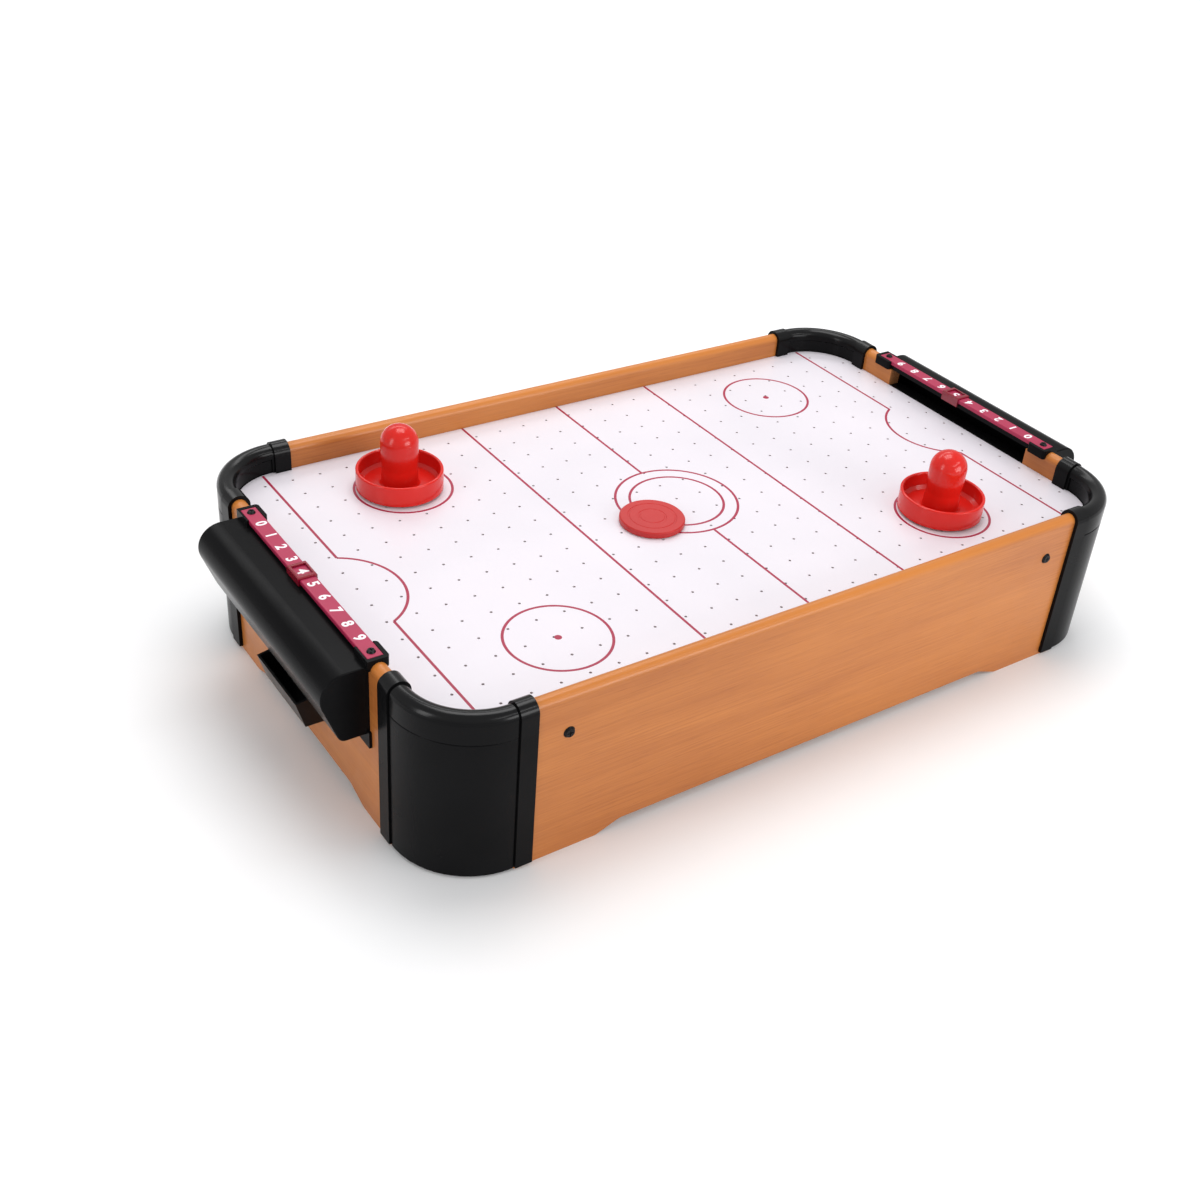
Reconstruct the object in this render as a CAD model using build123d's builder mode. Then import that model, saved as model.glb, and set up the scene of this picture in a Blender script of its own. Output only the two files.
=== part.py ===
from build123d import *
import os
from math import cos, radians, sin, tan

os.makedirs("parts", exist_ok=True)

# Tabletop air hockey table. Millimetres, +Z up, +X towards the right goal, +Y away from the near long
# side. The origin is on the ground, below the middle of the playfield.

# ---- driving dimensions ----------------------------------------------------------------------------
BOARD_T = 11.2            # thickness of the four foil-wrapped boards
BOARD_H = 127.0           # ground to the top of the boards
FIELD_TOP = 108.0         # playing surface
FIELD_T = 3.0
INNER_X = 293.8           # middle of the field to the inner face of an end board
INNER_Y = 172.8           # middle of the field to the inner face of a side board
OUTER_X = INNER_X + BOARD_T
OUTER_Y = INNER_Y + BOARD_T
CORNER_R = 54.5           # corner arc, to the outer face of the boards
ARC_X = OUTER_X - CORNER_R
ARC_Y = OUTER_Y - CORNER_R
INNER_R = CORNER_R - BOARD_T
AIR_FILM = 0.1            # the puck and the mallets ride this far above the field
FIT = 0.2                 # assembly gap between parts that are put together by hand

# Feet: each board is cut away between them.
CUT_H = 7.0
POST_BOTTOM = 2.5         # the corner posts stop short of the ground
SIDE_CUT_FOOT = 187.0     # cut-out half length at the ground
SIDE_CUT_TOP = 168.0      # and at its upper edge
END_CUT_FOOT = 86.0
END_CUT_TOP = 66.0

# Corner mouldings
COLLAR_L = 12.4           # length of a raised collar along the board
COLLAR_OUT = 2.8          # how far a collar stands proud of the board
NECK_L = 1.3              # groove between a collar and the curved shell
SHELL_OUT = 1.5           # the curved shell stands proud of the board by this much
SHELL_WALL = 3.0
SOCKET_GAP = 0.1          # room round a board inside the corner caps
COLLAR_X = ARC_X - NECK_L - COLLAR_L
COLLAR_Y = ARC_Y - NECK_L - COLLAR_L
POST_SCREW_X = COLLAR_X + COLLAR_L / 2
POST_SCREW_Y = COLLAR_Y + COLLAR_L / 2
POST_SCREW_Z = 50.0

# Goal mouth, hood, beam and rail
MOUTH_Y = 81.0            # half width of the goal mouth
MOUTH_FLOOR = 104.0
SEAT_Y = 101.5            # half length of the beam over the mouth
SEAT_L = 18.5             # length of the block at each end of the beam
SEAT_IN = 2.4             # how far a block reaches over the field
SEAT_OUT = 1.8            # and past the outer face of the board
BEAM_TOP = 126.2
BEAM_HALF_W = 4.4
RAIL_X = INNER_X + BOARD_T / 2 + 0.4
RAIL_HALF_W = 5.5
RAIL_Y = 98.2
RAIL_T = 3.0
RAIL_TOP = BEAM_TOP + RAIL_T
RAIL_SCREW_Y = 92.2
DIGIT_PITCH = 16.85
HOOD_Y = 99.0
HOOD_TOP = 124.0
HOOD_BOTTOM = 72.0
HOOD_KNEE = 345.0         # where the planes of the top and of the raked face would meet
HOOD_HEEL = 325.0         # where the raked face would meet the underside
HOOD_ROUND = 17.0         # radius of the shoulder
HEEL_ROUND = 6.0
HOOD_WALL = 2.2
BEAM_BOTTOM = HOOD_TOP - HOOD_WALL
FLANGE_BOTTOM = 62.0
CHUTE_Y = 29.5            # half width of the slot in the hood's underside
TRAY_Y = 32.0
TRAY_TOP = 55.5
TRAY_BOTTOM = 35.3
TRAY_LIP = 326.0
TRAY_TOE = 320.0
TRAY_WALL = 2.0

# Loose pieces
PUCK_R = 24.5
PUCK_T = 5.0
PUCK_AT = (-35.4, -17.3)
MALLET_R = 32.5
MALLET_BASE_H = 17.0
MALLET_WALL = 2.4
MALLET_KNOB_R = 14.2
MALLET_H = 52.0
FELT_R = 30.0
FELT_T = 0.9
MALLET_LEFT_AT = (-176.6, 110.9)
MALLET_RIGHT_AT = (174.0, -105.8)

# Air box under the field
BATTEN_W = 12.0
BATTEN_H = 20.0
FIELD_UNDER = FIELD_TOP - FIELD_T
FLOOR_TOP = FIELD_UNDER - BATTEN_H
FLOOR_T = 3.0
FLOOR_UNDER = FLOOR_TOP - FLOOR_T
END_BATTEN_W = 8.0
CROSS_X = 99.0
CROSS_W = 9.0
HOLE_R = 1.05
HOLE_PITCH_X = 21.85
HOLE_PITCH_Y = 21.9
HOLE_ROWS = 15
HOLE_MID_Y = 2.2
HOLE_BLOCKS = ((-264.2, 8), (-85.9, 18))   # first column and number of columns of each drilled block

# Blower
DUCT_R = 35.0             # clear bore of the blower
DUCT_WALL = 2.5
DUCT_H = 38.0
DUCT_BOTTOM = FLOOR_UNDER - DUCT_H
DUCT_FLANGE_R = 50.0
DUCT_FLANGE_T = 3.0
DUCT_BOLT_R = 44.0
GRILLE_T = 2.0
GRILLE_R = DUCT_R + DUCT_WALL
MOTOR_R = 12.0
MOTOR_L = 22.0
MOTOR_BOTTOM = DUCT_BOTTOM + 3.5
SHAFT_R = 1.0
HUB_R = 9.0
HUB_BOTTOM = MOTOR_BOTTOM + MOTOR_L + 2.0
HUB_H = 8.0
BLADE_TIP_R = 33.0
BLADES = 7

# Battery box, below the air box floor on the right of the blower
BOX_X = 118.0
BOX_Y = -40.0
CELLS = 6
CELL_R = 7.2
CELL_L = 50.0
CELL_PITCH = 15.2
BOX_WALL = 2.0
BOX_IN_X = CELLS * CELL_PITCH + 1.0
BOX_IN_Y = 60.0
BOX_H = 21.0
BOX_BOTTOM = FLOOR_UNDER - BOX_H
BOX_T = BOX_WALL + 1.0
BOX_EARS = [(BOX_X + sx * (BOX_IN_X / 2 + BOX_T + 5), BOX_Y + sy * 22) for sx in (-1, 1) for sy in (-1, 1)]
DOOR_T = 2.0

# Power switch, below the air box floor, between the battery box and the far side
SWITCH_X = 118.0
SWITCH_Y = 40.0
SWITCH_L = 21.0
SWITCH_W = 15.0
SWITCH_H = 20.0
ROCKER_TILT = 9.0
SWITCH_EARS = [(SWITCH_X + 3, SWITCH_Y + sy * 14.0) for sy in (-1, 1)]

# Wires: from the box to the switch, on to the motor, and back to the box
WIRE_R = 0.8
WIRE_Z = 78.0
FEED_X = 109.0
RETURN_Y = -30.0
LEAD_Y = 2.5              # the two motor leads run side by side over one arm of the motor mount
LEAD_Z = 53.0

SIDES = ((-1, -1, "near_left"), (1, -1, "near_right"), (-1, 1, "far_left"), (1, 1, "far_right"))
ENDS = ((-1, "left"), (1, "right"))
UPWARD = (Align.CENTER, Align.CENTER, Align.MIN)   # boxes and cylinders that stand on their place


def save(piece, label):
    """Names a finished piece and writes its STEP file."""
    piece.part.label = label
    export_step(piece.part, f"parts/{label}.step")


def facing(x, y, z, direction):
    """A place on a surface whose outward normal is the given direction."""
    return Plane(origin=(x, y, z), z_dir=direction).location


def screws(label, places, head_r=3.0, head_h=1.8, shank_r=1.4, length=16.0):
    """Cross-head screws, each a solid of its own, heads outward of the places given."""
    with BuildPart() as piece:
        for place in places:
            with Locations(place):
                Cylinder(shank_r, length, align=(Align.CENTER, Align.CENTER, Align.MAX))
                Cone(head_r, head_r * 0.72, head_h, align=UPWARD)
                with Locations((0, 0, head_h)):
                    Box(head_r * 1.1, 0.7, 1.6, mode=Mode.SUBTRACT)
                    Box(0.7, head_r * 1.1, 1.6, mode=Mode.SUBTRACT)
    save(piece, label)


def eased(corner, before, after, radius):
    """Start, middle and end of the arc that rounds a corner between its two neighbours."""
    tip = Vector(*corner)
    back = (Vector(*before) - tip).normalized()
    on = (Vector(*after) - tip).normalized()
    half = radians(back.get_angle(on)) / 2
    centre = tip + (back + on).normalized() * (radius / sin(half))
    reach = radius / tan(half)
    return tip + back * reach, centre + (tip - centre).normalized() * radius, tip + on * reach


def board_outline(inner, outer):
    """Upright cross-section of a board: square at the ground, fully rounded on top."""
    radius = BOARD_T / 2
    with BuildLine() as outline:
        Polyline((inner, BOARD_H - radius), (inner, 0), (outer, 0), (outer, BOARD_H - radius))
        ThreePointArc((outer, BOARD_H - radius), ((inner + outer) / 2, BOARD_H), (inner, BOARD_H - radius))
    make_face(outline.edges())


def foot_cutout(foot, top):
    """Outline of the low cut-out between the two feet of a board, with eased bends."""
    with BuildLine() as outline:
        FilletPolyline(
            (-foot - 12, -10), (-foot - 12, 0), (-foot, 0), (-top, CUT_H), (top, CUT_H), (foot, 0),
            (foot + 12, 0), (foot + 12, -10), radius=9.0,
        )
        Line((foot + 12, -10), (-foot - 12, -10))
    make_face(outline.edges())


# ---- boards ----------------------------------------------------------------------------------------
SIDE_SCREW_X = 213.0
SIDE_SCREW_Z = 97.5
SIDE_HALF = ARC_X - NECK_L - FIT
END_HALF = ARC_Y - NECK_L - FIT

for sy, name in ((-1, "near"), (1, "far")):
    with BuildPart() as side_board:
        with BuildSketch(Plane.YZ.offset(-SIDE_HALF)):
            board_outline(sy * INNER_Y, sy * OUTER_Y)
        extrude(amount=2 * SIDE_HALF)
        with BuildSketch(Plane.XZ.offset(-sy * INNER_Y)):
            foot_cutout(SIDE_CUT_FOOT, SIDE_CUT_TOP)
        extrude(amount=2 * BOARD_T, both=True, mode=Mode.SUBTRACT)
        for sx in (-1, 1):
            with Locations(facing(sx * SIDE_SCREW_X, sy * OUTER_Y, SIDE_SCREW_Z, (0, sy, 0))):
                Hole(1.5, BOARD_T + 1)
            with Locations(facing(sx * POST_SCREW_X, sy * INNER_Y, POST_SCREW_Z, (0, -sy, 0))):
                Hole(1.45, 9)
    save(side_board, f"side_board_{name}")

for sx, name in ENDS:
    with BuildPart() as end_board:
        with BuildSketch(Plane.XZ.offset(-END_HALF)):
            board_outline(sx * INNER_X, sx * OUTER_X)
        extrude(amount=2 * END_HALF)
        with BuildSketch(Plane.YZ.offset(sx * INNER_X)):
            foot_cutout(END_CUT_FOOT, END_CUT_TOP)
            with Locations((0, MOUTH_FLOOR)):
                Rectangle(2 * MOUTH_Y, 40, align=(Align.CENTER, Align.MIN))
            with Locations((0, BEAM_BOTTOM)):
                Rectangle(2 * SEAT_Y + 2 * FIT, 40, align=(Align.CENTER, Align.MIN))
        extrude(amount=2 * BOARD_T, both=True, mode=Mode.SUBTRACT)
        for y in (-60, 60):
            with Locations(facing(sx * OUTER_X, y, FLANGE_BOTTOM + 4.5, (sx, 0, 0))):
                Hole(1.45, 11)
        for y in (-20, 20):
            with Locations(facing(sx * OUTER_X, y, TRAY_TOP - 6, (sx, 0, 0))):
                Hole(1.45, 11)
        for y in (-RAIL_SCREW_Y, RAIL_SCREW_Y):
            with Locations(facing(sx * RAIL_X, y, BEAM_BOTTOM, (0, 0, 1))):
                Hole(1.45, 13)
        for y in (-POST_SCREW_Y, POST_SCREW_Y):
            with Locations(facing(sx * INNER_X, y, POST_SCREW_Z, (-sx, 0, 0))):
                Hole(1.45, 9)
    save(end_board, f"end_board_{name}")


# ---- corner mouldings ------------------------------------------------------------------------------
CAP_TOP = BOARD_H + SHELL_OUT
BEAD_R = (BOARD_T + SHELL_OUT + 1.0) / 2


def quadrant(sx, sy, height):
    """Keeps the part of a turned ring that lies in one corner of the table."""
    size = 2 * CORNER_R
    with Locations((sx * (ARC_X + size / 2), sy * (ARC_Y + size / 2), 0)):
        Box(size, size, height, align=UPWARD, mode=Mode.INTERSECT)


def collar_section(base, top_z, half, middle):
    """Upright cross-section over the board: straight sides and a round top."""
    with BuildLine() as outline:
        Polyline((middle - half, top_z - half), (middle - half, base), (middle + half, base),
                 (middle + half, top_z - half))
        ThreePointArc((middle + half, top_z - half), (middle, top_z), (middle - half, top_z - half))
    make_face(outline.edges())


def over_board(sx, sy, base):
    """Collar and neck over the side board and over the end board, cut out to take the boards."""
    mid_y = sy * (INNER_Y + BOARD_T / 2)
    mid_x = sx * (INNER_X + BOARD_T / 2)
    for start, length, grow in ((COLLAR_X, COLLAR_L, COLLAR_OUT), (ARC_X - NECK_L, NECK_L + 0.5, 1.0)):
        with BuildSketch(Plane.YZ.offset(sx * start)) as section:
            collar_section(base, BOARD_H + grow, BOARD_T / 2 + grow, mid_y)
        extrude(section.sketch, amount=sx * length)
    for start, length, grow in ((COLLAR_Y, COLLAR_L, COLLAR_OUT), (ARC_Y - NECK_L, NECK_L + 0.5, 1.0)):
        with BuildSketch(Plane.XZ.offset(-sy * start)) as section:
            collar_section(base, BOARD_H + grow, BOARD_T / 2 + grow, mid_x)
        extrude(section.sketch, amount=-sy * length)


def board_sockets(sx, sy, base):
    """Room for the two board ends inside the collars."""
    mid_y = sy * (INNER_Y + BOARD_T / 2)
    mid_x = sx * (INNER_X + BOARD_T / 2)
    with BuildSketch(Plane.YZ.offset(sx * (COLLAR_X - 5))) as section:
        collar_section(base - 1, BOARD_H + SOCKET_GAP, BOARD_T / 2 + SOCKET_GAP, mid_y)
    extrude(section.sketch, amount=sx * (COLLAR_L + 5), mode=Mode.SUBTRACT)
    with BuildSketch(Plane.XZ.offset(-sy * (COLLAR_Y - 5))) as section:
        collar_section(base - 1, BOARD_H + SOCKET_GAP, BOARD_T / 2 + SOCKET_GAP, mid_x)
    extrude(section.sketch, amount=-sy * (COLLAR_L + 5), mode=Mode.SUBTRACT)


def corner_cap(sx, sy, name):
    """Rounded rim moulding above the seam."""
    outer = CORNER_R + SHELL_OUT
    inner = outer - 2 * BEAD_R
    bead_z = CAP_TOP - BEAD_R
    skirt = INNER_R + 0.3
    with BuildPart() as cap:
        with BuildSketch(Plane(origin=(sx * ARC_X, sy * ARC_Y, 0), x_dir=(1, 0, 0), z_dir=(0, -1, 0))):
            with BuildLine():
                Polyline((inner, bead_z), (inner, bead_z - 2.0), (skirt, bead_z - 3.4), (skirt, FIELD_TOP),
                         (outer - 0.5, FIELD_TOP), (outer, FIELD_TOP + 0.5), (outer, bead_z))
                ThreePointArc((outer, bead_z), (outer - BEAD_R, CAP_TOP), (inner, bead_z))
            make_face()
        revolve(axis=Axis((sx * ARC_X, sy * ARC_Y, 0), (0, 0, 1)))
        with BuildSketch(Plane(origin=(sx * ARC_X, sy * ARC_Y, 0), x_dir=(1, 0, 0), z_dir=(0, -1, 0))):
            with Locations((skirt + 2.2, FIELD_TOP - 1)):
                Rectangle(outer - skirt - 4.6, 15, align=(Align.MIN, Align.MIN))
        revolve(axis=Axis((sx * ARC_X, sy * ARC_Y, 0), (0, 0, 1)), mode=Mode.SUBTRACT)
        quadrant(sx, sy, 200)
        over_board(sx, sy, FIELD_TOP)
        board_sockets(sx, sy, FIELD_TOP)
    save(cap, f"corner_cap_{name}")


def corner_post(sx, sy, name):
    """Curved upright below the seam, just clear of the ground, with a channel for each board."""
    outer = CORNER_R + SHELL_OUT
    with BuildPart() as post:
        with BuildSketch(Plane(origin=(sx * ARC_X, sy * ARC_Y, 0), x_dir=(1, 0, 0), z_dir=(0, -1, 0))):
            with BuildLine():
                Polyline((outer - SHELL_WALL, POST_BOTTOM), (outer, POST_BOTTOM), (outer, FIELD_TOP - 0.5),
                         (outer - 0.5, FIELD_TOP), (INNER_R + 0.3, FIELD_TOP), (INNER_R + 0.3, FLOOR_TOP),
                         (INNER_R + 3.3, FLOOR_TOP), (INNER_R + 3.3, FIELD_UNDER),
                         (outer - SHELL_WALL, FIELD_UNDER), close=True)
            make_face()
        revolve(axis=Axis((sx * ARC_X, sy * ARC_Y, 0), (0, 0, 1)))
        quadrant(sx, sy, 200)
        # Outer strips of the two collars
        tall = FIELD_TOP - POST_BOTTOM
        with Locations((sx * COLLAR_X, sy * OUTER_Y, POST_BOTTOM)):
            Box(COLLAR_L, COLLAR_OUT, tall,
                align=(Align.MIN if sx > 0 else Align.MAX, Align.MIN if sy > 0 else Align.MAX, Align.MIN))
        with Locations((sx * OUTER_X, sy * COLLAR_Y, POST_BOTTOM)):
            Box(COLLAR_OUT, COLLAR_L, tall,
                align=(Align.MIN if sx > 0 else Align.MAX, Align.MIN if sy > 0 else Align.MAX, Align.MIN))
        # Webs that close the channels against the board ends
        with Locations((sx * (ARC_X - NECK_L), sy * INNER_Y, POST_BOTTOM)):
            Box(NECK_L + 0.5, BOARD_T + 1.0, tall,
                align=(Align.MIN if sx > 0 else Align.MAX, Align.MIN if sy > 0 else Align.MAX, Align.MIN))
        with Locations((sx * INNER_X, sy * (ARC_Y - NECK_L), POST_BOTTOM)):
            Box(BOARD_T + 1.0, NECK_L + 0.5, tall,
                align=(Align.MIN if sx > 0 else Align.MAX, Align.MIN if sy > 0 else Align.MAX, Align.MIN))
        # Inner lips of the channels, below the air box
        lip_h = FLOOR_UNDER - CUT_H - 2
        with Locations((sx * COLLAR_X, sy * INNER_Y, CUT_H)):
            Box(COLLAR_L + NECK_L + 0.5, COLLAR_OUT, lip_h,
                align=(Align.MIN if sx > 0 else Align.MAX, Align.MAX if sy > 0 else Align.MIN, Align.MIN))
        with Locations((sx * INNER_X, sy * COLLAR_Y, CUT_H)):
            Box(COLLAR_OUT, COLLAR_L + NECK_L + 0.5, lip_h,
                align=(Align.MAX if sx > 0 else Align.MIN, Align.MIN if sy > 0 else Align.MAX, Align.MIN))
        for place in post_screw_places(sx, sy):
            with Locations(place):
                Cylinder(1.45, 12, mode=Mode.SUBTRACT)
    save(post, f"corner_post_{name}")


def post_screw_places(sx, sy):
    """The screw through each inner lip into its board, heads on the inside."""
    return (
        facing(sx * POST_SCREW_X, sy * (INNER_Y - COLLAR_OUT), POST_SCREW_Z, (0, -sy, 0)),
        facing(sx * (INNER_X - COLLAR_OUT), sy * POST_SCREW_Y, POST_SCREW_Z, (-sx, 0, 0)),
    )


for sx, sy, name in SIDES:
    corner_cap(sx, sy, name)
    corner_post(sx, sy, name)

post_screws = [place for sx, sy, _ in SIDES for place in post_screw_places(sx, sy)]
screws("corner_post_screws", post_screws, length=11.0)

side_screws = [
    facing(sx * SIDE_SCREW_X, sy * OUTER_Y, SIDE_SCREW_Z, (0, sy, 0)) for sx in (-1, 1) for sy in (-1, 1)
]
screws("side_board_screws", side_screws, head_r=4.2, head_h=1.6, length=18.5)


# ---- playing field and air box ---------------------------------------------------------------------
def air_hole_places():
    """Drilling grid of the field, less the holes that would fall outside its rounded corners."""
    places = []
    for first, columns in HOLE_BLOCKS:
        for column in range(columns):
            for row in range(HOLE_ROWS):
                x = first + column * HOLE_PITCH_X
                y = HOLE_MID_Y + (row - (HOLE_ROWS - 1) / 2) * HOLE_PITCH_Y
                past_x = max(abs(x) - ARC_X, 0)
                past_y = max(abs(y) - ARC_Y, 0)
                if (past_x ** 2 + past_y ** 2) ** 0.5 < INNER_R - 5:
                    places.append((x, y))
    return places


FLOOR_SCREWS = [(x, sy * (INNER_Y - BATTEN_W / 2)) for x in (-150, 0, 150) for sy in (-1, 1)]
FLOOR_SCREWS += [(sx * (INNER_X - END_BATTEN_W / 2), y) for sx in (-1, 1) for y in (-80, 80)]
DUCT_BOLTS = [(DUCT_BOLT_R * cos(radians(a)), DUCT_BOLT_R * sin(radians(a))) for a in (45, 135, 225, 315)]

with BuildPart() as playfield:
    with BuildSketch(Plane.XY.offset(FIELD_UNDER)):
        RectangleRounded(2 * (INNER_X - FIT), 2 * (INNER_Y - FIT), INNER_R)
        with Locations(*air_hole_places()):
            Circle(HOLE_R, mode=Mode.SUBTRACT)
    extrude(amount=FIELD_T)
save(playfield, "playfield")

for sy, name in ((-1, "near"), (1, "far")):
    with BuildPart() as batten:
        with Locations((0, sy * INNER_Y, FLOOR_TOP)):
            Box(2 * (ARC_X - 0.5), BATTEN_W, BATTEN_H,
                align=(Align.CENTER, Align.MIN if sy < 0 else Align.MAX, Align.MIN))
        for sx in (-1, 1):
            with Locations(facing(sx * SIDE_SCREW_X, sy * INNER_Y, SIDE_SCREW_Z, (0, sy, 0))):
                Hole(1.45, 8.5)
        for x in (-150, 0, 150):
            with Locations(facing(x, sy * (INNER_Y - BATTEN_W / 2), FLOOR_TOP, (0, 0, -1))):
                Hole(1.45, 14)
    save(batten, f"batten_{name}")

for sx, name in ENDS:
    with BuildPart() as batten:
        with Locations((sx * INNER_X, 0, FLOOR_TOP)):
            Box(END_BATTEN_W, 2 * (ARC_Y - 0.5), BATTEN_H,
                align=(Align.MIN if sx < 0 else Align.MAX, Align.CENTER, Align.MIN))
        for y in (-80, 80):
            with Locations(facing(sx * (INNER_X - END_BATTEN_W / 2), y, FLOOR_TOP, (0, 0, -1))):
                Hole(1.45, 14)
    save(batten, f"batten_{name}")

for sx, name in ENDS:
    with BuildPart() as cross_batten:
        with Locations((sx * CROSS_X, 0, FLOOR_TOP)):
            Box(CROSS_W, 2 * (INNER_Y - BATTEN_W), BATTEN_H, align=UPWARD)
        for y in (-105, 0, 105):
            with Locations((sx * CROSS_X, y, FLOOR_TOP)):
                Box(2 * CROSS_W, 60, 11, align=UPWARD, mode=Mode.SUBTRACT)
    save(cross_batten, f"cross_batten_{name}")

with BuildPart() as plenum_floor:
    with BuildSketch(Plane.XY.offset(FLOOR_UNDER)):
        RectangleRounded(2 * (INNER_X - FIT), 2 * (INNER_Y - FIT), INNER_R)
        Circle(DUCT_R, mode=Mode.SUBTRACT)
    extrude(amount=FLOOR_T)
    with Locations(*FLOOR_SCREWS, *DUCT_BOLTS, *BOX_EARS, *SWITCH_EARS):
        with Locations((0, 0, FLOOR_UNDER)):
            Cylinder(1.45, 2 * FLOOR_T + 2, mode=Mode.SUBTRACT)
save(plenum_floor, "plenum_floor")

screws("plenum_floor_screws", [facing(x, y, FLOOR_UNDER, (0, 0, -1)) for x, y in FLOOR_SCREWS], length=15.0)


# ---- goals -----------------------------------------------------------------------------------------
def hood_section(sx, wall, base):
    """Outline of the hood across the table: flat top, round shoulder, face raked in to the underside."""
    rake = (HOOD_KNEE - HOOD_HEEL) / (HOOD_TOP - HOOD_BOTTOM)
    inset = wall * (1 + rake ** 2) ** 0.5
    top = (sx * base, HOOD_TOP - wall)
    knee = (sx * (HOOD_KNEE - rake * wall - inset), HOOD_TOP - wall)
    heel = (sx * (HOOD_HEEL + rake * wall - inset), HOOD_BOTTOM + wall)
    bottom = (sx * base, HOOD_BOTTOM + wall)
    shoulder = eased(knee, top, heel, HOOD_ROUND - wall)
    hem = eased(heel, knee, bottom, HEEL_ROUND - wall)
    with BuildLine() as outline:
        Polyline(hem[2], bottom, top, shoulder[0])
        ThreePointArc(*shoulder)
        Line(shoulder[2], hem[0])
        ThreePointArc(*hem)
    make_face(outline.edges())


for sx, name in ENDS:
    inward = Align.MIN if sx > 0 else Align.MAX
    with BuildPart() as hood:
        with BuildSketch(Plane.XZ):
            hood_section(sx, 0, OUTER_X)
        extrude(amount=HOOD_Y, both=True)
        ends = hood.faces().sort_by(Axis.Y)
        fillet([edge for face in (ends[0], ends[-1]) for edge in face.edges()
                if abs(edge.center().X) > OUTER_X + 1 and edge.center().Z > HOOD_BOTTOM + 1], 1.0)
        with BuildSketch(Plane.XZ):
            hood_section(sx, HOOD_WALL, OUTER_X - 1)
        extrude(amount=HOOD_Y - HOOD_WALL, both=True, mode=Mode.SUBTRACT)
        # Back plate against the board, and the sill that levels the mouth with the field
        with Locations((sx * OUTER_X, 0, HOOD_BOTTOM)):
            Box(2, 2 * MOUTH_Y - 1, FIELD_TOP - 0.4 - HOOD_BOTTOM, align=(inward, Align.CENTER, Align.MIN))
        with Locations((sx * OUTER_X, 0, FLANGE_BOTTOM)):
            Box(2, 2 * SEAT_Y, HOOD_BOTTOM + 2 - FLANGE_BOTTOM, align=(inward, Align.CENTER, Align.MIN))
        with Locations((sx * (INNER_X + 0.3), 0, FIELD_TOP - 2.8)):
            Box(BOARD_T + 1, 2 * MOUTH_Y - 1, 2.4, align=(inward, Align.CENTER, Align.MIN))
        # Slot that drops the puck into the tray
        with Locations((sx * (OUTER_X + 2), 0, HOOD_BOTTOM - 1)):
            Box(14, 2 * CHUTE_Y, HOOD_WALL + 2, align=(inward, Align.CENTER, Align.MIN), mode=Mode.SUBTRACT)
        # Beam over the mouth, and the two blocks that take the ends of the rail
        with Locations((sx * RAIL_X, 0, BEAM_BOTTOM)):
            Box(2 * BEAM_HALF_W, 2 * SEAT_Y - 2, BEAM_TOP - BEAM_BOTTOM, align=UPWARD)
        with Locations((sx * RAIL_X, 0, HOOD_TOP - HOOD_WALL)):
            Box(9, 2 * HOOD_Y - 2, HOOD_WALL, align=(inward, Align.CENTER, Align.MIN))
        for sy in (-1, 1):
            with BuildSketch(Plane.XY.offset(BEAM_BOTTOM)) as block:
                with Locations((sx * (INNER_X + OUTER_X + SEAT_OUT - SEAT_IN) / 2, sy * (SEAT_Y - SEAT_L / 2))):
                    Rectangle(BOARD_T + SEAT_IN + SEAT_OUT, SEAT_L)
                by_x = block.vertices().group_by(Axis.X)
                fillet(by_x[0] if sx > 0 else by_x[-1], 2.6)
                fillet(by_x[-1] if sx > 0 else by_x[0], 0.8)
            extrude(block.sketch, amount=RAIL_TOP - BEAM_BOTTOM)
        with Locations((sx * RAIL_X, 0, BEAM_TOP)):
            Box(2 * RAIL_HALF_W + 0.2, 2 * RAIL_Y + 0.4, 10, align=UPWARD, mode=Mode.SUBTRACT)
        for sy in (-1, 1):
            with Locations(facing(sx * RAIL_X, sy * RAIL_SCREW_Y, BEAM_TOP, (0, 0, 1))):
                Hole(1.45, 12)
            with Locations(facing(sx * (OUTER_X + 2), sy * 60, FLANGE_BOTTOM + 4.5, (sx, 0, 0))):
                Hole(1.45, 3)
    save(hood, f"goal_hood_{name}")

    with BuildPart() as tray:
        with BuildSketch(Plane.XZ):
            with BuildLine():
                Polyline(
                    (sx * OUTER_X, TRAY_BOTTOM), (sx * TRAY_TOE, TRAY_BOTTOM), (sx * TRAY_LIP, TRAY_TOP),
                    (sx * (OUTER_X + 2), TRAY_TOP + 4), (sx * OUTER_X, TRAY_TOP + 4), close=True,
                )
            make_face()
        extrude(amount=TRAY_Y, both=True)
        with BuildSketch(Plane.XZ):
            with BuildLine():
                Polyline(
                    (sx * (OUTER_X + 2), TRAY_BOTTOM + TRAY_WALL),
                    (sx * (TRAY_TOE - 1.5), TRAY_BOTTOM + TRAY_WALL),
                    (sx * (TRAY_LIP - 1.6), TRAY_TOP + 0.1), (sx * TRAY_LIP, TRAY_TOP + 9),
                    (sx * (OUTER_X + 2), TRAY_TOP + 9), close=True,
                )
            make_face()
        extrude(amount=TRAY_Y - TRAY_WALL, both=True, mode=Mode.SUBTRACT)
        for y in (-20, 20):
            with Locations(facing(sx * (OUTER_X + 2), y, TRAY_TOP - 6, (sx, 0, 0))):
                Hole(1.45, 3)
    save(tray, f"goal_tray_{name}")

    with BuildPart() as rail:
        with Locations((sx * RAIL_X, 0, BEAM_TOP)):
            Box(2 * RAIL_HALF_W, 2 * RAIL_Y, RAIL_T, align=UPWARD)
        chamfer(rail.faces().sort_by(Axis.Z)[-1].edges(), 0.4)
        for sy in (-1, 1):
            with Locations(facing(sx * RAIL_X, sy * RAIL_SCREW_Y, RAIL_TOP, (0, 0, 1))):
                Hole(1.45, 4)
    save(rail, f"score_rail_{name}")

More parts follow.
